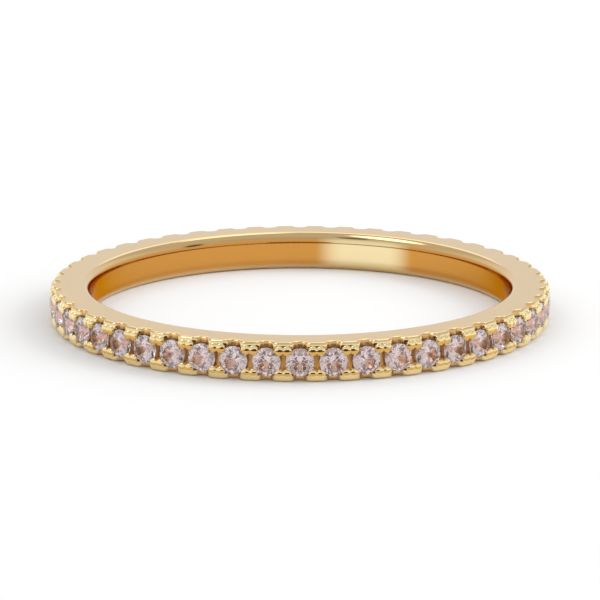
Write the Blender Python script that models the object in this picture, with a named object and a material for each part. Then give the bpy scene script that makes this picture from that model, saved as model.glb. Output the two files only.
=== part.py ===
"""Eternity ring: a gold band whose rim carries one whole row of round brilliant-cut stones.

Units are metres and +Z is up. The ring lies on its side, so its axis is Z and its lower side
face is at z = 0. The first stone points along -Y, and the others follow anticlockwise.
"""

import math

import bmesh
import bpy
from mathutils import Matrix, Vector

MM = 0.001

# Band
BORE_DIAMETER = 17.3 * MM  # inside, where the finger goes
BAND_WALL = 1.57 * MM  # from the bore to the tips of the teeth
BAND_WIDTH = 1.6 * MM  # along the finger, from side face to side face
INNER_EDGE_RADIUS = 0.42 * MM

# Notches that open both sides beside each stone and leave teeth between them
NOTCH_DEPTH = 0.44 * MM
NOTCH_FLOOR_WIDTH = 0.2 * MM
NOTCH_MOUTH_WIDTH = 0.5 * MM

# Prongs that hold the stones: the two round ends of each tooth, over a channel between the stones
PRONG_DIAMETER = 0.38 * MM
PRONG_SPACING = 0.31 * MM
PRONG_INSET = 0.33 * MM  # from the side face to the prongs' centres
CHANNEL_DEPTH = 0.16 * MM  # from the teeth's tips

# Stones
STONE_DIAMETER = 1.15 * MM
LEAST_STONE_GAP = 0.17 * MM  # least distance between two stones' girdles
GIRDLE_DROP = 0.05 * MM  # from the teeth's tips down to the stones' girdles
GIRDLE_THICKNESS = 0.04 * MM
TABLE_DIAMETER = 0.66 * MM  # from corner to corner
CROWN_ANGLE = math.radians(34.5)
PAVILION_ANGLE = math.radians(40.75)
STAR_REACH = 0.5  # share of the way from the table's edge to the girdle
LOWER_FACET_REACH = 0.75  # share of the way from the girdle to the pavilion's point
SEAT_CLEARANCE = 0.02 * MM

# Facet counts
MAIN_FACETS = 8
GIRDLE_SIDES = 2 * MAIN_FACETS
SEAT_SIDES = MAIN_FACETS
INNER_EDGE_STEPS = 3
PRONG_STEPS = 2

# Worked out from the sizes above
BORE_RADIUS = BORE_DIAMETER / 2
TIP_RADIUS = BORE_RADIUS + BAND_WALL
GIRDLE_RADIUS = TIP_RADIUS - GIRDLE_DROP
HALF_WIDTH = BAND_WIDTH / 2
STONE_RADIUS = STONE_DIAMETER / 2
STONE_COUNT = int(math.tau * GIRDLE_RADIUS / (STONE_DIAMETER + LEAST_STONE_GAP))
PITCH = math.tau / STONE_COUNT
MARGIN = 0.3 * MM  # how far cutters and blanks run past what is cut
SAME_POINT = 0.0001 * MM
SHARP_ANGLE = math.radians(35)  # between faces that meet in a crisp edge


def clear_scene():
    for obj in list(bpy.data.objects):
        bpy.data.objects.remove(obj)


def new_collection(name):
    collection = bpy.data.collections.new(name)
    bpy.context.scene.collection.children.link(collection)
    return collection


def new_mesh(name, shape):
    """The mesh of a finished bmesh, which is freed."""
    mesh = bpy.data.meshes.new(name)
    shape.to_mesh(mesh)
    shape.free()
    return mesh


def new_object(name, mesh, collection):
    obj = bpy.data.objects.new(name, mesh)
    collection.objects.link(obj)
    return obj


def new_cutter(name, shape, collection):
    obj = new_object(name, new_mesh(name, shape), collection)
    obj.hide_render = True
    obj.display_type = "WIRE"
    return obj


def new_material(name, colour, roughness, metallic):
    material = bpy.data.materials.new(name)
    material.use_nodes = True
    shader = material.node_tree.nodes["Principled BSDF"]
    shader.inputs["Base Color"].default_value = (*colour, 1.0)
    shader.inputs["Roughness"].default_value = roughness
    shader.inputs["Metallic"].default_value = metallic
    return material


def wedge(outline, first, step, steps):
    """A closed solid that an outline, at +X and in the XZ plane, sweeps about Z in steps."""
    shape = bmesh.new()
    face = shape.faces.new([shape.verts.new(point) for point in outline])
    bmesh.ops.rotate(shape, verts=shape.verts, matrix=Matrix.Rotation(first, 3, "Z"))
    bmesh.ops.spin(shape, geom=[face], axis=(0, 0, 1), angle=step * steps, steps=steps)
    bmesh.ops.recalc_face_normals(shape, faces=shape.faces)
    return shape


def turned(outline, sides):
    """A closed solid that an outline turns about X; its first and last points are on the axis."""
    shape = bmesh.new()
    points = [shape.verts.new(point) for point in outline]
    edges = [shape.edges.new(pair) for pair in zip(points, points[1:])]
    bmesh.ops.spin(
        shape, geom=points + edges, axis=(1, 0, 0), angle=math.tau, steps=sides, use_merge=True
    )
    bmesh.ops.remove_doubles(shape, verts=shape.verts, dist=SAME_POINT)
    bmesh.ops.recalc_face_normals(shape, faces=shape.faces)
    return shape


def cut_open(shape, point, normal):
    """Cut a shape at a plane, drop what lies on the normal's side and leave the cut open."""
    return bmesh.ops.bisect_plane(
        shape,
        geom=shape.verts[:] + shape.edges[:] + shape.faces[:],
        dist=SAME_POINT,
        plane_co=point,
        plane_no=normal,
        clear_outer=True,
    )


def cut_facets(stone, count, first, reach, height, tilt):
    """Cut a ring of flat facets: tilted planes through points at a reach and height."""
    for turn in range(count):
        around = Matrix.Rotation(first + turn * math.tau / count, 3, "Z")
        point = around @ Vector((reach, 0, height))
        normal = around @ Vector((math.sin(abs(tilt)), 0, math.copysign(math.cos(tilt), tilt)))
        cut_open(stone, point, normal)
        rim = [edge for edge in stone.edges if edge.is_boundary]
        if rim:
            bmesh.ops.contextual_create(stone, geom=rim)


def brilliant_stone():
    """A round brilliant about Z: its crown starts at z = 0 and its table faces +Z."""
    stone = bmesh.new()
    bmesh.ops.create_cone(
        stone,
        cap_ends=True,
        segments=GIRDLE_SIDES,
        radius1=STONE_RADIUS,
        radius2=STONE_RADIUS,
        depth=2 * STONE_DIAMETER,
    )
    main = math.tau / MAIN_FACETS
    between = main / 2
    beside = main / 4
    table_reach = TABLE_DIAMETER / 2 * math.cos(between)
    table_height = (STONE_RADIUS - TABLE_DIAMETER / 2) * math.tan(CROWN_ANGLE)
    star_reach = table_reach + STAR_REACH * (STONE_RADIUS - table_reach)
    star_height = (STONE_RADIUS - star_reach * math.cos(between)) * math.tan(CROWN_ANGLE)
    star_tilt = math.atan2(table_height - star_height, star_reach - table_reach)
    upper_tilt = math.atan2(star_height, (STONE_RADIUS - star_reach) * math.cos(beside))
    lower_reach = STONE_RADIUS * (1 - LOWER_FACET_REACH)
    lower_depth = (STONE_RADIUS - lower_reach * math.cos(between)) * math.tan(PAVILION_ANGLE)
    lower_tilt = math.atan2(lower_depth, (STONE_RADIUS - lower_reach) * math.cos(beside))
    side_reach = STONE_RADIUS * math.cos(beside)

    cut_facets(stone, MAIN_FACETS, 0, STONE_RADIUS, 0, CROWN_ANGLE)
    cut_facets(stone, 1, 0, 0, table_height, 0)
    cut_facets(stone, MAIN_FACETS, between, table_reach, table_height, star_tilt)
    cut_facets(stone, GIRDLE_SIDES, beside, side_reach, 0, upper_tilt)
    cut_facets(stone, MAIN_FACETS, 0, STONE_RADIUS, -GIRDLE_THICKNESS, -PAVILION_ANGLE)
    cut_facets(stone, GIRDLE_SIDES, beside, side_reach, -GIRDLE_THICKNESS, -lower_tilt)
    bmesh.ops.recalc_face_normals(stone, faces=stone.faces)
    return stone


def band_blank():
    """The turned band along one stone's pitch and a little more, from below its middle up."""
    edge_centre = Vector((BORE_RADIUS + INNER_EDGE_RADIUS, 0, HALF_WIDTH - INNER_EDGE_RADIUS))
    edge = []
    for step in range(INNER_EDGE_STEPS + 1):
        angle = math.pi - step * math.pi / 2 / INNER_EDGE_STEPS
        edge.append(edge_centre + INNER_EDGE_RADIUS * Vector((math.cos(angle), 0, math.sin(angle))))
    outline = [
        (BORE_RADIUS, 0, -MARGIN),
        *edge,
        (TIP_RADIUS, 0, HALF_WIDTH),
        (TIP_RADIUS, 0, -MARGIN),
    ]
    return wedge(outline, -PITCH / 2, PITCH, 2)


def seat_cutter():
    """The room of one stone along +X: a pit under its pavilion and straight walls round its girdle."""
    wall = STONE_RADIUS + SEAT_CLEARANCE
    ledge = GIRDLE_RADIUS - GIRDLE_THICKNESS - SEAT_CLEARANCE
    top = TIP_RADIUS + MARGIN
    corner = wall / math.cos(math.pi / SEAT_SIDES)
    turn = Matrix.Rotation(math.pi / SEAT_SIDES, 3, "X")
    outline = [
        turn @ Vector(point)
        for point in (
            (ledge - wall * math.tan(PAVILION_ANGLE), 0, 0),
            (ledge, 0, corner),
            (top, 0, corner),
            (top, 0, 0),
        )
    ]
    return turned(outline, SEAT_SIDES)


def extruded(outline, direction):
    """A closed solid that a flat outline of points makes along a direction."""
    shape = bmesh.new()
    face = shape.faces.new([shape.verts.new(point) for point in outline])
    walls = bmesh.ops.extrude_face_region(shape, geom=[face])
    moved = [item for item in walls["geom"] if isinstance(item, bmesh.types.BMVert)]
    bmesh.ops.translate(shape, verts=moved, vec=direction)
    bmesh.ops.recalc_face_normals(shape, faces=shape.faces)
    return shape


def notch_cutter():
    """The slot that opens a side beside a stone, wider at its mouth, from the middle up."""
    flare = (NOTCH_MOUTH_WIDTH - NOTCH_FLOOR_WIDTH) / 2 / NOTCH_DEPTH
    floor = (TIP_RADIUS - NOTCH_DEPTH, NOTCH_FLOOR_WIDTH / 2)
    mouth = (TIP_RADIUS + MARGIN, NOTCH_MOUTH_WIDTH / 2 + MARGIN * flare)
    outline = [
        (floor[0], floor[1], 0),
        (mouth[0], mouth[1], 0),
        (mouth[0], -mouth[1], 0),
        (floor[0], -floor[1], 0),
    ]
    return extruded(outline, (0, 0, HALF_WIDTH + MARGIN))


def channel_cutter():
    """The channel beside a stone, whose wall goes round a prong and meets the next at the gap."""
    floor = TIP_RADIUS - CHANNEL_DEPTH
    gap = TIP_RADIUS * math.tan(PITCH / 2)
    centre = Vector((floor, gap - PRONG_SPACING / 2, HALF_WIDTH - PRONG_INSET))
    at_gap = -math.acos(min(1, PRONG_SPACING / PRONG_DIAMETER))
    at_stone = -math.pi * 3 / 4  # inside the seat, where the wall ends
    prong = []
    for step in range(PRONG_STEPS + 1):
        angle = at_gap + (at_stone - at_gap) * step / PRONG_STEPS
        prong.append(centre + PRONG_DIAMETER / 2 * Vector((0, math.cos(angle), math.sin(angle))))
    outline = [
        (floor, -MARGIN, -MARGIN),
        (floor, gap + MARGIN, -MARGIN),
        (floor, gap + MARGIN, prong[0].z),
        *prong,
        (floor, -MARGIN, prong[-1].z),
    ]
    return extruded(outline, (CHANNEL_DEPTH + MARGIN, 0, 0))


def stone_cell(cutters):
    """The band round one stone, made as a quarter and mirrored, open where it meets the next."""
    blank = new_object("cell_blank", new_mesh("cell_blank", band_blank()), cutters)
    shapes = {
        "channel_cutter": channel_cutter(),
        "seat_cutter": seat_cutter(),
        "notch_cutter": notch_cutter(),
    }
    for name, shape in shapes.items():
        cut = blank.modifiers.new(name, "BOOLEAN")
        cut.operation = "DIFFERENCE"
        cut.object = new_cutter(name, shape, cutters)
    bpy.context.view_layer.update()
    cell = bmesh.new()
    cell.from_object(blank, bpy.context.evaluated_depsgraph_get())
    bpy.data.objects.remove(blank)
    gap_side = Matrix.Rotation(PITCH / 2, 3, "Z") @ Vector((0, 1, 0))
    for normal in ((0, -1, 0), (0, 0, -1), gap_side):
        cut_open(cell, (0, 0, 0), normal)
    for axis in (1, 2):
        mirror_over(cell, axis)
    return cell


def mirror_over(shape, axis):
    """Add a shape's mirror image across the plane square to an axis, and join the two."""
    flip = Vector((1, 1, 1))
    flip[axis] = -1
    copy = bmesh.ops.duplicate(shape, geom=shape.verts[:] + shape.edges[:] + shape.faces[:])
    image = [item for item in copy["geom"] if isinstance(item, bmesh.types.BMVert)]
    faces = [item for item in copy["geom"] if isinstance(item, bmesh.types.BMFace)]
    bmesh.ops.scale(shape, verts=image, vec=flip)
    bmesh.ops.reverse_faces(shape, faces=faces)
    bmesh.ops.remove_doubles(shape, verts=shape.verts, dist=SAME_POINT)


def stone_turn(index):
    """The turn about Z that takes the +X direction to a stone's place."""
    return Matrix.Rotation(index * PITCH - math.pi / 2, 4, "Z")


def make_band(parts, cutters, gold):
    """The whole band: a cell for each stone, joined into one closed solid."""
    shape = stone_cell(cutters)
    bmesh.ops.transform(shape, verts=shape.verts, matrix=stone_turn(0))
    bmesh.ops.spin(
        shape,
        geom=shape.verts[:] + shape.edges[:] + shape.faces[:],
        axis=(0, 0, 1),
        angle=math.tau - PITCH,
        steps=STONE_COUNT - 1,
        use_duplicate=True,
    )
    bmesh.ops.remove_doubles(shape, verts=shape.verts, dist=SAME_POINT)
    bmesh.ops.translate(shape, verts=shape.verts, vec=(0, 0, HALF_WIDTH))
    bmesh.ops.recalc_face_normals(shape, faces=shape.faces)
    mesh = new_mesh("band", shape)
    mesh.shade_smooth()
    mesh.set_sharp_from_angle(angle=SHARP_ANGLE)
    mesh.materials.append(gold)
    new_object("band", mesh, parts)


def make_stones(parts, crystal):
    """The row of stones, each with its table facing away from the band's axis."""
    mesh = new_mesh("brilliant_stone", brilliant_stone())
    mesh.materials.append(crystal)
    out = Matrix.Translation((GIRDLE_RADIUS, 0, HALF_WIDTH)) @ Matrix.Rotation(math.pi / 2, 4, "Y")
    for index in range(STONE_COUNT):
        stone = new_object(f"stone_{index + 1:02d}", mesh, parts)
        stone.matrix_world = stone_turn(index) @ out


def main():
    clear_scene()
    parts = new_collection("eternity_ring")
    cutters = new_collection("cutters")
    gold = new_material("polished_gold", colour=(0.83, 0.58, 0.27), roughness=0.12, metallic=1.0)
    crystal = new_material("pale_pink_stone", colour=(0.78, 0.62, 0.62), roughness=0.02, metallic=0.0)
    make_band(parts, cutters, gold)
    make_stones(parts, crystal)


main()
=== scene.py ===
"""Eternity ring: a polished gold band with one whole row of small pale pink brilliants.

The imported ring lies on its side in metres, with its axis along Z and stone_01 towards -Y.
The band is modelled in millimetres round +X, one stone's pitch at a time, and then copied
round and brought to metres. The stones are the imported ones, with a cut stone's finish.
"""

import math
from contextlib import contextmanager

import bmesh
import bpy
from bpy.props import FloatProperty, FloatVectorProperty, IntProperty, PointerProperty
from mathutils import Euler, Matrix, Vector


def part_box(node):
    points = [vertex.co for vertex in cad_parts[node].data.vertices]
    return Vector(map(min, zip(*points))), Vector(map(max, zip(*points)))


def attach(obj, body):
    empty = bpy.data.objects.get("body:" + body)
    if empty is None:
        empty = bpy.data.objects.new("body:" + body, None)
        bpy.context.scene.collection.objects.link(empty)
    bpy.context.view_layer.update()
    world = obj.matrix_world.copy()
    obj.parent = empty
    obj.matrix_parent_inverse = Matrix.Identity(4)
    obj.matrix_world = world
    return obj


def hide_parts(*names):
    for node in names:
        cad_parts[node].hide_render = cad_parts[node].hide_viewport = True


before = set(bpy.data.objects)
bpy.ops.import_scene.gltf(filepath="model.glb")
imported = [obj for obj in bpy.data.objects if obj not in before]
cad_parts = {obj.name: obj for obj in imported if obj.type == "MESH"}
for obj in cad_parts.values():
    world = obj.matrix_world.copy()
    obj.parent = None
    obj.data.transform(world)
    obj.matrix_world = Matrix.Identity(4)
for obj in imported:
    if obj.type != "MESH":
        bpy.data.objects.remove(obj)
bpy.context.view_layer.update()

bl_info = {
    "name": "Eternity ring",
    "version": (1, 0, 0),
    "blender": (4, 5, 0),
    "location": "3D View > Sidebar > Ring",
    "description": "Models and finishes a gold ring with a whole row of small brilliants",
    "category": "Object",
}

MM = 0.001  # metres
SAME_POINT = 1e-4  # mm, between points that are one
SPARE = 0.3  # mm, that a shape reaches past the place where it is cut or cuts another
CHANNEL_HALF = 0.56  # mm, from the middle of the band's width to a wall of its channel
CARD_POINT = 1e-6  # metres, between points of a card that are one
SMOOTH_ANGLE = math.radians(34)  # between faces that look as one curved face
STONE_NODES = sorted(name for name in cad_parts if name.startswith("stone_"))
BAND_LOW, BAND_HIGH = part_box("band")


class RingSizes(bpy.types.PropertyGroup):
    """Sizes of the gold band and of the seats in it."""

    bore_diameter: FloatProperty(
        name="Bore diameter", description="Inside of the band, where the finger goes",
        default=17.3 * MM, unit="LENGTH", subtype="DISTANCE", precision=5)
    tip_diameter: FloatProperty(
        name="Tip diameter", description="Across the band over the tips of its teeth",
        default=20.42 * MM, unit="LENGTH", subtype="DISTANCE", precision=5)
    width: FloatProperty(
        name="Width", description="Width of the band along the finger",
        default=BAND_HIGH.z - BAND_LOW.z, unit="LENGTH", subtype="DISTANCE", precision=5)
    inner_edge: FloatProperty(
        name="Inner edge", description="Width of the soft edges round the bore, on the side faces",
        default=0.32 * MM, unit="LENGTH", subtype="DISTANCE", precision=5)
    inner_edge_height: FloatProperty(
        name="Inner edge height", description="Height of the soft edges, along the bore",
        default=0.5 * MM, unit="LENGTH", subtype="DISTANCE", precision=5)
    stone_diameter: FloatProperty(
        name="Stone diameter", description="Diameter of one stone at its girdle",
        default=1.15 * MM, unit="LENGTH", subtype="DISTANCE", precision=5)
    girdle_radius: FloatProperty(
        name="Girdle radius", description="From the band's axis to the stones' girdles",
        default=10.17 * MM, unit="LENGTH", subtype="DISTANCE", precision=5)
    notch_depth: FloatProperty(
        name="Notch depth", description="Depth of the notch that opens a side beside each stone",
        default=0.25 * MM, unit="LENGTH", subtype="DISTANCE", precision=5)
    bead_diameter: FloatProperty(
        name="Bead diameter", description="Diameter of the round prongs that hold the stones",
        default=0.39 * MM, unit="LENGTH", subtype="DISTANCE", precision=5)
    bead_spacing: FloatProperty(
        name="Bead spacing", description="Between the centres of the two prongs of a pair",
        default=0.31 * MM, unit="LENGTH", subtype="DISTANCE", precision=5)
    bead_inset: FloatProperty(
        name="Bead inset", description="From a side face to the centres of its prongs",
        default=0.33 * MM, unit="LENGTH", subtype="DISTANCE", precision=5)
    channel_depth: FloatProperty(
        name="Channel depth", description="From the teeth's tips down to the web between stones",
        default=0.24 * MM, unit="LENGTH", subtype="DISTANCE", precision=5)
    edge_break: FloatProperty(
        name="Edge break", description="Width of the small polished edge round each tooth",
        default=0.13 * MM, unit="LENGTH", subtype="DISTANCE", precision=5)
    steps: IntProperty(
        name="Steps", description="Flat steps of the band's curve along half a stone's pitch",
        default=4, min=2, max=12)


class RingColours(bpy.types.PropertyGroup):
    """Colours of the metal and of the stones, with painted reflections, highlights and shade on
    the metal.
    """

    gold: FloatVectorProperty(
        name="Gold", description="Colour of the polished metal", subtype="COLOR",
        size=3, min=0, max=1, default=(0.80, 0.57, 0.285))
    # Painted reflection: the bore's deeper orange stands in for the light that the gold bounces
    # back and forth inside the bore
    bore_painted_reflection: FloatVectorProperty(
        name="Bore gold", description="Deeper colour of the metal inside the bore",
        subtype="COLOR", size=3, min=0, max=1, default=(0.64, 0.30, 0.064))
    # Painted highlight: the teeth and prongs are brighter than the rest of the gold
    tooth_painted_highlight: FloatVectorProperty(
        name="Tooth gold", description="Brighter colour of the teeth and prongs",
        subtype="COLOR", size=3, min=0, max=1, default=(0.98, 0.80, 0.45))
    # Painted shade: the notches and channel are darker than the rest of the gold
    recess_painted_shade: FloatVectorProperty(
        name="Recess gold", description="Darker colour of the metal in the notches and channel",
        subtype="COLOR", size=3, min=0, max=1, default=(0.86, 0.56, 0.24))
    # Painted reflection: the seats are paler than the gold, so the stones show more light through
    # them
    seat_painted_reflection: FloatVectorProperty(
        name="Seat gold", description="Pale colour of the seats that shine through the stones",
        subtype="COLOR", size=3, min=0, max=1, default=(0.93, 0.74, 0.60))
    # Painted highlight: a paler stretch of the bore, behind and to the right
    bore_painted_highlight: FloatVectorProperty(
        name="Pale gold", description="Colour of the palest stretch of the bore",
        subtype="COLOR", size=3, min=0, max=1, default=(0.97, 0.84, 0.50))
    # Painted reflection: an orange tint on what the bore reflects at low angles, standing in for
    # light bounced inside the bore
    grazing_painted_reflection_tint: FloatVectorProperty(
        name="Low angle gold", description="Tint of what the bore reflects at low angles",
        subtype="COLOR", size=3, min=0, max=1, default=(0.88, 0.58, 0.30))
    stone: FloatVectorProperty(
        name="Stone", description="Tint of the stones", subtype="COLOR",
        size=3, min=0, max=1, default=(0.90, 0.82, 0.90))
    stone_clouds: FloatVectorProperty(
        name="Stone clouds", description="Second tint, in clouds inside the stones",
        subtype="COLOR", size=3, min=0, max=1, default=(0.94, 0.75, 0.70))


class RingStage(bpy.types.PropertyGroup):
    """The studio round the ring."""

    elevation: FloatProperty(
        name="Elevation", description="Camera's angle above the floor",
        default=math.radians(14), unit="ROTATION", subtype="ANGLE")
    distance: FloatProperty(
        name="Distance", description="From the camera to the middle of the ring",
        default=0.2, unit="LENGTH", subtype="DISTANCE")
    lens: FloatProperty(
        name="Lens", description="Focal length of the camera", default=290, unit="CAMERA")
    light_size: FloatProperty(
        name="Light size", description="Side of the square light", default=0.18,
        unit="LENGTH", subtype="DISTANCE")
    light_power: FloatProperty(
        name="Light power", description="Power of the square light", default=0.30,
        unit="POWER")
    warm_radius: FloatProperty(
        name="Warm card radius", description="Outside of the warm card that only reflections see",
        default=18 * MM, unit="LENGTH", subtype="DISTANCE", precision=5)
    warm_colour: FloatVectorProperty(
        name="Warm card colour", description="Colour of the warm card", subtype="COLOR",
        size=3, min=0, max=1, default=(0.70, 0.50, 0.24))
    dark_width: FloatProperty(
        name="Dark card width", description="Width of the dark card towards the camera",
        default=22 * MM, unit="LENGTH", subtype="DISTANCE", precision=5)
    dark_height: FloatProperty(
        name="Dark card height", description="Height of the dark card's folded end",
        default=4.6 * MM, unit="LENGTH", subtype="DISTANCE", precision=5)
    dark_colour: FloatVectorProperty(
        name="Dark card colour", description="Colour of the dark card", subtype="COLOR",
        size=3, min=0, max=1, default=(0.07, 0.03, 0.025))
    through_colour: FloatVectorProperty(
        name="Dark card through a stone", description="Colour of the dark card behind a stone",
        subtype="COLOR", size=3, min=0, max=1, default=(0.20, 0.15, 0.14))
    floor_size: FloatProperty(
        name="Floor size", description="Side of the floor", default=3,
        unit="LENGTH", subtype="DISTANCE")
    floor_colour: FloatVectorProperty(
        name="Floor colour", description="Colour of the floor", subtype="COLOR",
        size=3, min=0, max=1, default=(0.93, 0.93, 0.93))


# Modelling

def select_only(obj):
    bpy.ops.object.select_all(action="DESELECT")
    obj.select_set(True)
    bpy.context.view_layer.objects.active = obj


@contextmanager
def editing(obj):
    """Edit mode on one object, with nothing selected."""
    select_only(obj)
    bpy.ops.object.mode_set(mode="EDIT")
    bpy.ops.mesh.select_mode(type="VERT")
    bpy.ops.mesh.select_all(action="DESELECT")
    yield
    bpy.ops.object.mode_set(mode="OBJECT")


def pick(obj, kind, test):
    """Select the points, edges or faces that pass a test, and nothing else."""
    bpy.ops.mesh.select_mode(type=kind)
    bpy.ops.mesh.select_all(action="DESELECT")
    shape = bmesh.from_edit_mesh(obj.data)
    for item in {"VERT": shape.verts, "EDGE": shape.edges, "FACE": shape.faces}[kind]:
        item.select = bool(test(item))
    shape.select_flush_mode()
    bmesh.update_edit_mesh(obj.data)


def added(name):
    """The object that a primitive has just made, with its place kept in its mesh."""
    obj = bpy.context.object
    obj.name = name
    bpy.ops.object.transform_apply(location=True, rotation=True, scale=True)
    return obj


def plate(name, corners):
    """A flat face with four corners, given in order round it."""
    bpy.ops.object.select_all(action="DESELECT")
    bpy.ops.mesh.primitive_plane_add(size=1)
    obj = added(name)
    for index, corner in zip((0, 1, 3, 2), corners):
        obj.data.vertices[index].co = corner
    return obj


def cut(target, tool, operation="DIFFERENCE"):
    """Cut a tool out of the target, or join the two, and delete the tool."""
    modifier = target.modifiers.new(tool.name, "BOOLEAN")
    modifier.operation = operation
    modifier.solver = "EXACT"
    modifier.object = tool
    select_only(target)
    bpy.ops.object.modifier_apply(modifier=modifier.name)
    mesh = tool.data
    bpy.data.objects.remove(tool)
    bpy.data.meshes.remove(mesh)


def extrude(move):
    bpy.ops.mesh.extrude_region_move(TRANSFORM_OT_translate={"value": move})


def band_blank(sizes, pitch):
    """The turned band along one and a half pitches, from below its middle up."""
    bore, tip = sizes.bore_diameter / 2 / MM, sizes.tip_diameter / 2 / MM
    half = sizes.width / 2 / MM
    edge, height = sizes.inner_edge / MM, sizes.inner_edge_height / MM
    turn = Euler((0, 0, -pitch / 2)).to_matrix()
    corners = ((bore, 0, -SPARE), (bore, 0, half), (tip, 0, half), (tip, 0, -SPARE))
    blank = plate("gold_band", [turn @ Vector(corner) for corner in corners])
    with editing(blank):
        pick(blank, "VERT", lambda v: v.co.z > 0 and v.co.xy.length < bore + SAME_POINT)
        bpy.ops.mesh.bevel(offset=edge, segments=10, affect="VERTICES", clamp_overlap=False)
        pick(blank, "VERT", lambda v: v.co.z > half - edge - SAME_POINT
             and v.co.xy.length < bore + edge + SAME_POINT)
        bpy.ops.transform.resize(value=(1, 1, height / edge), center_override=(bore, 0, half))
        bpy.ops.mesh.select_all(action="SELECT")
        bpy.ops.mesh.spin(
            steps=3 * sizes.steps, angle=-pitch * 1.5, center=(0, 0, 0), axis=(0, 0, 1))
        bpy.ops.mesh.select_all(action="SELECT")
        bpy.ops.mesh.remove_doubles(threshold=SAME_POINT)
        bpy.ops.mesh.select_all(action="SELECT")
        bpy.ops.mesh.normals_make_consistent(inside=False)
    return blank


def notch_tool(sizes):
    """What is filed away at a side beside a stone: narrow at its floor, wide at the tips."""
    tip = sizes.tip_diameter / 2 / MM
    floor = tip - sizes.notch_depth / MM
    # Points of the notch's outline: how far out from the axis, and half the width there
    rows = [(floor, 0.05), (floor + 0.008, 0.1), (floor + 0.03, 0.15), (floor + 0.07, 0.19),
            (floor + 0.13, 0.23), (tip - 0.07, 0.27), (tip - 0.035, 0.325), (tip - 0.012, 0.4),
            (tip, 0.5), (tip + 0.006, 0.62), (tip + SPARE, 0.62)]
    (first, narrow), (second, wide) = rows[:2]
    tool = plate("notch", [
        (first, -narrow, 0), (second, -wide, 0), (second, wide, 0), (first, narrow, 0)])
    with editing(tool):
        for (near, half), (far, next_half) in zip(rows[1:], rows[2:]):
            pick(tool, "VERT", lambda v: v.co.x > near - SAME_POINT)
            extrude((far - near, 0, 0))
            bpy.ops.transform.resize(value=(1, next_half / half, 1), center_override=(far, 0, 0))
        bpy.ops.mesh.select_all(action="SELECT")
        extrude((0, 0, sizes.width / 2 / MM + SPARE))
        bpy.ops.mesh.select_all(action="SELECT")
        bpy.ops.mesh.normals_make_consistent(inside=False)
    return tool


def channel_tool(sizes):
    """What is milled away between the two walls, down to the web between the stones."""
    floor = (sizes.tip_diameter / 2 - sizes.channel_depth) / MM
    height, length, middle = 0.5, 1.6, 0.4
    corner = 0.09  # mm, radius between the web and a wall
    bpy.ops.object.select_all(action="DESELECT")
    bpy.ops.mesh.primitive_cube_add(size=1, location=(floor + height / 2, middle, 0))
    tool = bpy.context.object
    tool.scale = (height, length, 2 * CHANNEL_HALF)
    tool = added("channel")
    with editing(tool):
        pick(tool, "EDGE", lambda e: all(v.co.x < floor + SAME_POINT for v in e.verts)
             and abs(e.verts[0].co.z - e.verts[1].co.z) < SAME_POINT)
        bpy.ops.mesh.bevel(offset=corner, segments=4, affect="EDGES")
    return tool


def bead(sizes, pitch):
    """A round prong with a domed end, that stands beside the gap between two stones."""
    radius = sizes.bead_diameter / 2 / MM
    top = 10.325  # mm, from the band's axis
    flatness = 0.42  # the dome's height as a share of the radius
    stem = 0.35  # mm, down into the band
    gap = sizes.girdle_radius / MM * math.tan(pitch / 2)
    middle = Vector((
        top - radius * flatness, gap - sizes.bead_spacing / 2 / MM,
        (sizes.width / 2 - sizes.bead_inset) / MM))
    bpy.ops.object.select_all(action="DESELECT")
    bpy.ops.mesh.primitive_uv_sphere_add(
        segments=20, ring_count=12, radius=radius, location=middle, rotation=(0, math.pi / 2, 0))
    prong = added("bead")
    with editing(prong):
        pick(prong, "VERT", lambda v: v.co.x < middle.x - SAME_POINT)
        bpy.ops.mesh.delete(type="VERT")
        bpy.ops.mesh.select_all(action="SELECT")
        bpy.ops.transform.resize(value=(flatness, 1, 1), center_override=middle)
        pick(prong, "EDGE", lambda e: e.is_boundary)
        extrude((-stem, 0, 0))
        bpy.ops.mesh.edge_face_add()
        bpy.ops.mesh.select_all(action="SELECT")
        bpy.ops.mesh.normals_make_consistent(inside=False)
    return prong


def seat_tool(sizes):
    """The room of one stone along +X: a pit for its pavilion, and a cone over its crown."""
    clear = 0.012  # mm, all round the stone
    half_girdle = 0.04  # mm, half of the girdle's height
    rise = 0.19  # mm, from the girdle to the end of the cone
    pavilion_angle, crown_angle = math.radians(40.75), math.radians(34.5)
    wall = sizes.stone_diameter / 2 / MM + clear
    girdle = sizes.girdle_radius / MM
    ledge = girdle - half_girdle - clear
    depth = wall * math.tan(pavilion_angle)
    bpy.ops.object.select_all(action="DESELECT")
    bpy.ops.mesh.primitive_cone_add(
        vertices=32, radius1=wall, radius2=0, depth=depth, location=(ledge - depth / 2, 0, 0),
        rotation=(0, -math.pi / 2, 0))
    tool = added("seat")
    with editing(tool):
        pick(tool, "FACE", lambda f: len(f.verts) > 4)
        extrude((girdle + clear - ledge, 0, 0))
        extrude((rise, 0, 0))
        narrow = (wall - rise / math.tan(crown_angle)) / wall
        bpy.ops.transform.resize(
            value=(1, narrow, narrow), center_override=(girdle + clear + rise, 0, 0))
        bpy.ops.mesh.select_all(action="SELECT")
        bpy.ops.mesh.normals_make_consistent(inside=False)
    return tool


def keep_side(obj, normal):
    """Cut an object through the origin and drop the half that the normal points to."""
    with editing(obj):
        bpy.ops.mesh.select_all(action="SELECT")
        bpy.ops.mesh.bisect(
            plane_co=(0, 0, 0), plane_no=normal, clear_outer=True, threshold=SAME_POINT)


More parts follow.
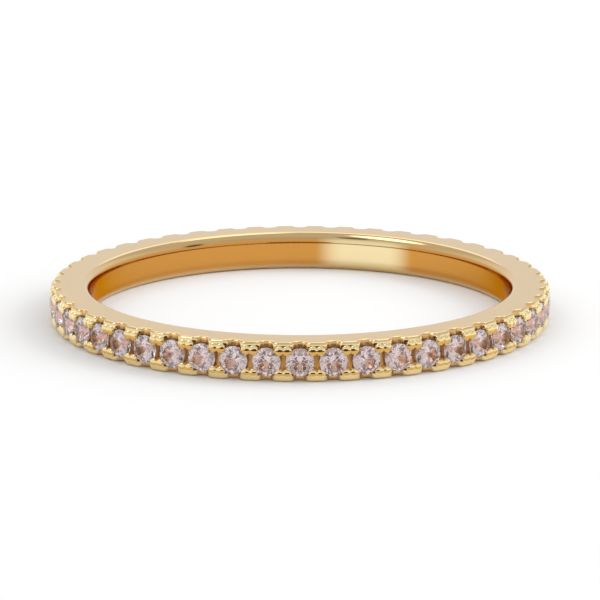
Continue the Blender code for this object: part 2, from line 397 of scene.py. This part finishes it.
def break_edges(band, sizes):
    """Round the sharp outline of the side face, after its flat faces are made one."""
    half, width = sizes.width / 2 / MM, sizes.edge_break / MM
    rim = sizes.bore_diameter / 2 / MM + 0.6  # between the soft inner edge and the notches
    crossed = 0.01  # mm, between points that the bevel can push past each other

    def on_side(points):
        return all(abs(v.co.z - half) < SAME_POINT for v in points)

    with editing(band):
        pick(band, "FACE", lambda f: on_side(f.verts))
        bpy.ops.mesh.dissolve_faces()
        pick(band, "EDGE", lambda e: on_side(e.verts) and not e.is_boundary
             and min(v.co.xy.length for v in e.verts) > rim)
        bpy.ops.mesh.bevel(offset=width, segments=3, affect="EDGES", clamp_overlap=False)
        pick(band, "VERT", lambda v: v.co.xy.length > rim and v.co.z > half - width - SAME_POINT)
        bpy.ops.mesh.remove_doubles(threshold=crossed)


def copied_round(band, pitch):
    """Mirror the quarter cell, turn it to the first stone and copy it round the axis."""
    modifier = band.modifiers.new("halves", "MIRROR")
    modifier.use_axis = (False, True, True)
    modifier.merge_threshold = SAME_POINT
    select_only(band)
    bpy.ops.object.modifier_apply(modifier=modifier.name)
    count = len(STONE_NODES)
    with editing(band):
        bpy.ops.mesh.select_all(action="SELECT")
        bpy.ops.transform.rotate(
            value=math.pi / 2, orient_axis="Z", orient_type="GLOBAL", center_override=(0, 0, 0))
        bpy.ops.mesh.spin(
            dupli=True, steps=count - 1, angle=math.tau - pitch, center=(0, 0, 0), axis=(0, 0, 1))
        bpy.ops.mesh.select_all(action="SELECT")
        bpy.ops.mesh.remove_doubles(threshold=SAME_POINT)
        bpy.ops.mesh.normals_make_consistent(inside=False)


def model_band(sizes):
    """The whole band, joined from one cell for each stone."""
    pitch = math.tau / len(STONE_NODES)
    band = band_blank(sizes, pitch)
    cut(band, channel_tool(sizes))
    cut(band, notch_tool(sizes))
    cut(band, bead(sizes, pitch), "UNION")
    cut(band, seat_tool(sizes))
    for normal in ((0, -1, 0), (0, 0, -1), (-math.sin(pitch / 2), math.cos(pitch / 2), 0)):
        keep_side(band, normal)
    break_edges(band, sizes)
    copied_round(band, pitch)
    # Still in millimetres, as faces with a far smaller area get no weight
    bpy.ops.object.shade_smooth_by_angle(angle=SMOOTH_ANGLE)
    modifier = band.modifiers.new("even_faces", "WEIGHTED_NORMAL")
    modifier.keep_sharp = True
    modifier.weight = 100
    bpy.ops.object.modifier_apply(modifier=modifier.name)
    band.location.z = sizes.width / 2
    band.scale = (MM, MM, MM)
    select_only(band)
    bpy.ops.object.transform_apply(location=True, rotation=True, scale=True)
    return band


# Materials

class Graph:
    """The shader nodes of a material or a world, with short ways to add the usual ones."""

    def __init__(self, owner):
        owner.use_nodes = True
        self.nodes, self.links = owner.node_tree.nodes, owner.node_tree.links

    def put(self, value, socket):
        """Link an output to a socket, or set the socket to a number, a vector or a colour."""
        if isinstance(value, bpy.types.NodeSocket):
            self.links.new(value, socket)
        elif socket.type == "RGBA":
            socket.default_value = (*value, 1)
        else:
            socket.default_value = value

    def calculated(self, operation, first, second=0):
        node = self.nodes.new("ShaderNodeMath")
        node.operation = operation
        self.put(first, node.inputs[0])
        self.put(second, node.inputs[1])
        return node.outputs[0]

    def vector_node(self, operation, first, second=(0, 0, 0)):
        """A node for vectors, which gives a vector or a number."""
        node = self.nodes.new("ShaderNodeVectorMath")
        node.operation = operation
        self.put(first, node.inputs[0])
        self.put(second, node.inputs[1])
        return node

    def parts(self, vector):
        """The three numbers of a vector."""
        node = self.nodes.new("ShaderNodeSeparateXYZ")
        self.put(vector, node.inputs[0])
        return node.outputs

    def ramp(self, value, start, end, at_start=0, at_end=1, curve="SMOOTHSTEP"):
        """A number that goes from one level to another while a value goes from start to end."""
        node = self.nodes.new("ShaderNodeMapRange")
        node.interpolation_type = curve
        self.put(value, node.inputs["Value"])
        for name, number in (
                ("From Min", start), ("From Max", end), ("To Min", at_start), ("To Max", at_end)):
            self.put(number, node.inputs[name])
        return node.outputs[0]

    def spread(self, noise, low, high):
        """A noise, spread evenly between two levels."""
        return self.ramp(noise, 0, 1, low, high, "LINEAR")

    def mixed(self, factor, first, second, kind="RGBA"):
        node = self.nodes.new("ShaderNodeMix")
        node.data_type = kind
        for name, value in (("Factor", factor), ("A", first), ("B", second)):
            self.put(value, node.inputs[name])
        return node.outputs["Result"]

    def noise(self, place, scale, detail):
        node = self.nodes.new("ShaderNodeTexNoise")
        for name, value in (("Vector", place), ("Scale", scale), ("Detail", detail)):
            self.put(value, node.inputs[name])
        return node.outputs["Fac"]


def new_material(name):
    """A new material, its graph and its shader."""
    material = bpy.data.materials.new(name)
    graph = Graph(material)
    return material, graph, graph.nodes["Principled BSDF"]


def gold_material(colours, sizes):
    """Polished gold with painted light: a deeper orange painted reflection in the bore with a
    paler painted highlight in it, painted shade in the recesses, painted highlights on the teeth
    and prongs, paler seats as a painted reflection, and fine polishing marks.
    """
    material, graph, shader = new_material("polished_gold")
    place = graph.nodes.new("ShaderNodeTexCoord").outputs["Object"]
    axes = graph.parts(place)
    flat = graph.nodes.new("ShaderNodeCombineXYZ")
    graph.put(axes["X"], flat.inputs["X"])
    graph.put(axes["Y"], flat.inputs["Y"])
    flat = flat.outputs[0]
    # Out from the axis, and aside from the middle of the band's width
    out = graph.vector_node("LENGTH", flat).outputs["Value"]
    aside = graph.calculated("SUBTRACT", axes["Z"], sizes.width / 2)
    aside = graph.calculated("ABSOLUTE", aside)
    # Where one colour changes into the next, in metres out and aside
    bore_out = 8.655 * MM, 8.75 * MM
    cell_out, cell_aside = (9.3 * MM, 9.4 * MM), (0.71 * MM, 0.785 * MM)
    seat_out, seat_aside = (9.93 * MM, 10.0 * MM), (CHANNEL_HALF * MM, 0.6 * MM)
    tooth_out = 10.04 * MM, 10.14 * MM
    # The middle of a painted highlight, a paler stretch of the bore behind and to the right, and
    # the ends of its soft border
    pale_at, pale_end, pale_full = math.radians(19), math.radians(15), math.radians(6)

    along = graph.vector_node("DOT_PRODUCT", flat, (math.sin(pale_at), math.cos(pale_at), 0))
    toward = graph.calculated("DIVIDE", along.outputs["Value"], out)
    pale = graph.ramp(toward, math.cos(pale_end), math.cos(pale_full), 0, 0.85)
    # Painted reflection: the bore is a deeper orange than the rest of the gold
    inside = graph.ramp(out, *bore_out, 1, 0)
    bore = graph.mixed(pale, colours.bore_painted_reflection, colours.bore_painted_highlight)
    colour = graph.mixed(inside, colours.gold, bore)
    # A cell is all that is round one stone, from its seat out to the tips of the teeth; in it the
    # notches and channel get painted shade, the teeth and prongs a painted highlight, and the
    # seats a paler painted reflection
    seat = graph.calculated(
        "MULTIPLY", graph.ramp(out, *seat_out, 1, 0), graph.ramp(aside, *seat_aside, 1, 0))
    cell = graph.mixed(graph.ramp(out, *tooth_out), colours.recess_painted_shade, colours.tooth_painted_highlight)
    cell = graph.mixed(seat, cell, colours.seat_painted_reflection)
    in_cell = graph.calculated(
        "MULTIPLY", graph.ramp(out, *cell_out), graph.ramp(aside, *cell_aside, 1, 0))
    colour = graph.mixed(in_cell, colour, cell)
    # Cloudy changes of tone
    tone = graph.vector_node("SCALE", colour)
    clouds = graph.spread(graph.noise(place, scale=420, detail=3), 0.96, 1.04)
    graph.put(clouds, tone.inputs["Scale"])
    graph.put(tone.outputs[0], shader.inputs["Base Color"])
    # Painted reflection: inside the bore, reflections at low angles get an orange tint
    low_angle = graph.mixed(inside, (1, 1, 1), colours.grazing_painted_reflection_tint)
    graph.put(low_angle, shader.inputs["Specular Tint"])
    graph.put(1, shader.inputs["Metallic"])
    # Fine marks of the polishing wheel, and duller metal that the wheel can't reach
    marks = graph.spread(graph.noise(place, scale=9000, detail=2), 0.06, 0.13)
    recess = graph.calculated("SUBTRACT", graph.ramp(out, *tooth_out, 1, 0), seat)
    dull = graph.calculated("MULTIPLY", graph.calculated("MULTIPLY", recess, in_cell), 0.25)
    graph.put(graph.calculated("ADD", marks, dull), shader.inputs["Roughness"])
    # The faint waves that hand polishing leaves
    waves = graph.nodes.new("ShaderNodeBump")
    graph.put(0.6, waves.inputs["Strength"])
    graph.put(0.006 * MM, waves.inputs["Distance"])
    graph.put(graph.noise(place, scale=800, detail=1), waves.inputs["Height"])
    graph.put(waves.outputs["Normal"], shader.inputs["Normal"])
    return material


def stone_material(colours):
    """A pale pink cut stone."""
    material, graph, shader = new_material("pale_pink_stone")
    place = graph.nodes.new("ShaderNodeTexCoord").outputs["Object"]
    clouds = graph.noise(place, scale=300, detail=2)
    tint = graph.mixed(clouds, colours.stone, colours.stone_clouds)
    graph.put(tint, shader.inputs["Base Color"])
    graph.put(0.97, shader.inputs["Transmission Weight"])
    graph.put(1.77, shader.inputs["IOR"])
    graph.put(0.06, shader.inputs["Roughness"])
    return material


def plain_material(name, colour, through=None):
    """A dull colour, which can be another one where it is seen through a stone."""
    material, graph, shader = new_material(name)
    if through is not None:
        path = graph.nodes.new("ShaderNodeLightPath")
        colour = graph.mixed(path.outputs["Is Transmission Ray"], colour, through)
    graph.put(colour, shader.inputs["Base Color"])
    graph.put(1, shader.inputs["Roughness"])
    graph.put(0, shader.inputs["Specular IOR Level"])
    return material


class RING_OT_model_band(bpy.types.Operator):
    """Model the gold band with its teeth and prongs, and give it its finish, with painted
    reflections, highlights and shade
    """

    bl_idname = "ring.model_band"
    bl_label = "Model the gold band"

    def execute(self, context):
        band = model_band(context.scene.ring_sizes)
        band.data.materials.append(
            gold_material(context.scene.ring_colours, context.scene.ring_sizes))
        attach(band, "root")
        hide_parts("band")
        return {"FINISHED"}


class RING_OT_finish_stones(bpy.types.Operator):
    """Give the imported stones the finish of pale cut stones"""

    bl_idname = "ring.finish_stones"
    bl_label = "Finish the stones"

    def execute(self, context):
        material = stone_material(context.scene.ring_colours)
        for name in STONE_NODES:
            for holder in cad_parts[name].material_slots:
                holder.material = material
        return {"FINISHED"}


# The studio

# Soft bright panels round the ring: the way to each from the ring, how far from its middle it
# starts to fade and has faded, in degrees, and how bright it is
PANELS = (
    ((-0.50, -0.10, 0.86), 12, 17, 2.9),
    ((0.22, 0.34, 0.915), 8, 15, 2.0),
    ((0, 0.75, 0.66), 16, 26, 1.4),
)
# Dim places, given in the same way, with the share of the light that is left in each
DIM_PLACES = (
    ((-0.42, -0.60, 0.68), 6, 9, 0.25),
    ((0.84, -0.42, 0.37), 4.5, 7, 0.12),
)
# Rays that see the surroundings more evenly: how much more, and at what level
EVENED_RAYS = (
    ("Is Transmission Ray", 0.25, 0.8),
    ("Is Diffuse Ray", 1, 0.93),
)


def studio_world():
    """White surroundings with soft panels, which shine on the floor evenly."""
    world = bpy.data.worlds.new("studio")
    bpy.context.scene.world = world
    graph = Graph(world)
    place = graph.nodes.new("ShaderNodeTexCoord").outputs["Generated"]

    def round_place(direction, full, faded, inside, outside):
        toward = graph.vector_node("DOT_PRODUCT", place, Vector(direction).normalized())
        return graph.ramp(
            toward.outputs["Value"], math.cos(math.radians(faded)), math.cos(math.radians(full)),
            outside, inside)

    # A little dimmer overhead than all round
    level = graph.ramp(graph.parts(place)["Z"], 0.3, 0.6, 0.86, 0.62)
    for direction, full, faded, bright in PANELS:
        level = graph.calculated("MAXIMUM", level, round_place(direction, full, faded, bright, 0))
    for direction, full, faded, left in DIM_PLACES:
        level = graph.calculated("MULTIPLY", level, round_place(direction, full, faded, left, 1))
    path = graph.nodes.new("ShaderNodeLightPath")
    for ray, share, even in EVENED_RAYS:
        factor = graph.calculated("MULTIPLY", path.outputs[ray], share)
        level = graph.mixed(factor, level, even, "FLOAT")
    back = graph.nodes["Background"]
    graph.put(level, back.inputs["Color"])
    graph.put(1, back.inputs["Strength"])


def hide_card(card, material):
    """Keep a card out of sight, apart from what polished surfaces show of it."""
    card.data.materials.append(material)
    card.visible_camera = card.visible_diffuse = card.visible_shadow = False
    card.visible_volume_scatter = False


def warm_card(stage):
    """A flat warm card on the floor, round the front of the ring."""
    inside, back, lift = 10.7 * MM, -5 * MM, 0.02 * MM
    bpy.ops.object.select_all(action="DESELECT")
    bpy.ops.mesh.primitive_circle_add(vertices=96, radius=inside, location=(0, 0, lift))
    card = added("warm_card")
    with editing(card):
        bpy.ops.mesh.select_all(action="SELECT")
        bpy.ops.mesh.extrude_region_move()
        grow = stage.warm_radius / inside
        bpy.ops.transform.resize(value=(grow, grow, 1), center_override=(0, 0, 0))
        bpy.ops.mesh.select_all(action="SELECT")
        bpy.ops.mesh.bisect(
            plane_co=(0, back, 0), plane_no=(0, 1, 0), clear_outer=True, threshold=CARD_POINT)
        bpy.ops.mesh.select_all(action="SELECT")
        bpy.ops.mesh.normals_make_consistent(inside=False)
    card.visible_transmission = False
    hide_card(card, plain_material("warm_card", stage.warm_colour))


def dark_card(stage):
    """A narrow dark card towards the camera, folded up at its far end."""
    near, far, lift = -13.6 * MM, -30 * MM, 0.03 * MM
    half = stage.dark_width / 2
    card = plate("dark_card", [
        (-half, far, lift), (half, far, lift), (half, near, lift), (-half, near, lift)])
    with editing(card):
        pick(card, "VERT", lambda v: v.co.y < far + CARD_POINT)
        extrude((0, 0, stage.dark_height))
    hide_card(card, plain_material("dark_card", stage.dark_colour, stage.through_colour))


def key_light(stage):
    """One soft light from the right, which polished surfaces don't show."""
    place = Vector((0.26, 0.03, 0.17))
    bpy.ops.object.light_add(type="AREA", location=place)
    light = bpy.context.object
    light.name = "key_panel"
    light.rotation_euler = (-place).to_track_quat("-Z", "Y").to_euler()
    light.data.shape = "SQUARE"
    light.data.size = stage.light_size
    light.data.energy = stage.light_power
    light.visible_glossy = False


class RING_OT_set_stage(bpy.types.Operator):
    """Lay the floor, and set the lights and the camera"""

    bl_idname = "ring.set_stage"
    bl_label = "Set the stage"

    def execute(self, context):
        stage = context.scene.ring_stage
        bpy.ops.object.select_all(action="DESELECT")
        bpy.ops.mesh.primitive_plane_add(size=stage.floor_size)
        floor = added("floor")
        floor.data.materials.append(plain_material("white_paper", stage.floor_colour))
        warm_card(stage)
        dark_card(stage)
        studio_world()
        key_light(stage)
        context.scene.view_settings.view_transform = "Standard"
        context.scene.view_settings.look = "None"
        middle = Vector((0, 0, context.scene.ring_sizes.width / 2))
        tilt = stage.elevation
        away = Vector((0, -math.cos(tilt), math.sin(tilt)))
        bpy.ops.object.camera_add(
            location=middle + away * stage.distance, rotation=(math.pi / 2 - tilt, 0, 0))
        camera = bpy.context.object
        camera.name = "camera"
        camera.data.lens = stage.lens
        camera.data.sensor_width = 36
        camera.data.clip_start, camera.data.clip_end = 0.01, 10
        context.scene.camera = camera
        return {"FINISHED"}


class VIEW3D_PT_ring(bpy.types.Panel):
    """Sizes, colours and steps of the ring"""

    bl_label = "Eternity ring"
    bl_space_type = "VIEW_3D"
    bl_region_type = "UI"
    bl_category = "Ring"

    def draw(self, context):
        scene = context.scene
        groups = (
            (scene.ring_sizes, "ring.model_band"),
            (scene.ring_colours, "ring.finish_stones"),
            (scene.ring_stage, "ring.set_stage"),
        )
        for group, step in groups:
            column = self.layout.column(align=True)
            for name in group.__annotations__:
                column.prop(group, name)
            self.layout.operator(step)


CLASSES = (
    RingSizes, RingColours, RingStage,
    RING_OT_model_band, RING_OT_finish_stones, RING_OT_set_stage, VIEW3D_PT_ring)


def register():
    for cls in CLASSES:
        bpy.utils.register_class(cls)
    bpy.types.Scene.ring_sizes = PointerProperty(type=RingSizes)
    bpy.types.Scene.ring_colours = PointerProperty(type=RingColours)
    bpy.types.Scene.ring_stage = PointerProperty(type=RingStage)


def unregister():
    del bpy.types.Scene.ring_stage
    del bpy.types.Scene.ring_colours
    del bpy.types.Scene.ring_sizes
    for cls in reversed(CLASSES):
        bpy.utils.unregister_class(cls)


def main():
    register()
    bpy.ops.ring.model_band()
    bpy.ops.ring.finish_stones()
    bpy.ops.ring.set_stage()


if __name__ == "__main__":
    main()
